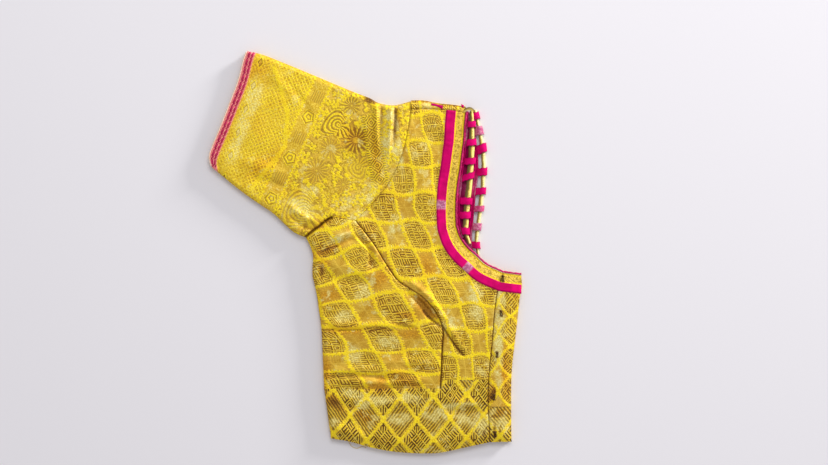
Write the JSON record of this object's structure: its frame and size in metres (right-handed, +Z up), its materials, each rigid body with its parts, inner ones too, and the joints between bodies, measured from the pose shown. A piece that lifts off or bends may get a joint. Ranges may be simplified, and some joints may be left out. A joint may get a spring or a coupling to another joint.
{
  "type": "choli blouse",
  "caption": "Short fitted blouse with short sleeves, folded in half at the centre back and laid flat, with a banded neck and corded back edges held by tabs.",
  "frame": {"origin": "centre of the underside, on the surface that the folded blouse lies on", "axes": "+Z up off the surface, +Y from the hem to the shoulder, +X from the sleeve to the centre front"},
  "size_m": [0.338, 0.4365, 0.0153],
  "materials": {
    "body_brocade": "woven zari brocade, satin sheen",
    "sleeve_brocade": "woven zari brocade with scattered motifs, satin sheen",
    "belt_brocade": "woven zari brocade, diamond lattice, satin sheen",
    "back_brocade": "woven brocade, dark olive ground",
    "cord_brocade": "brocade rolled into a soft cord",
    "pink_satin": "satin",
    "crimson_piping": "satin piping",
    "crimson_braid": "plaited thread, matt",
    "yellow_lining": "plain weave",
    "bronze_wire": "dark bronze wire"
  },
  "bodies": {
    "root": {"front_side_panel": "body_brocade", "front_centre_panel": "body_brocade", "waist_belt": "belt_brocade", "hook_placket": "body_brocade", "placket_belt": "belt_brocade", "sleeve": "sleeve_brocade", "sleeve_braid": "crimson_braid", "shoulder_fold": "body_brocade", "shoulder_band": "pink_satin", "neck_band": "pink_satin", "neck_piping": "crimson_piping", "hidden_layers": "yellow_lining", "upper_back": "back_brocade", "lower_back": "back_brocade", "upper_back_cord": "cord_brocade", "lower_back_cord": "cord_brocade", "upper_back_tabs": "pink_satin", "lower_back_tabs": "pink_satin", "hook_eye_1": "bronze_wire", "hook_eye_2": "bronze_wire", "hook_eye_3": "bronze_wire", "hook_eye_4": "bronze_wire", "hook_eye_5": "bronze_wire"}
  },
  "joints": []
}
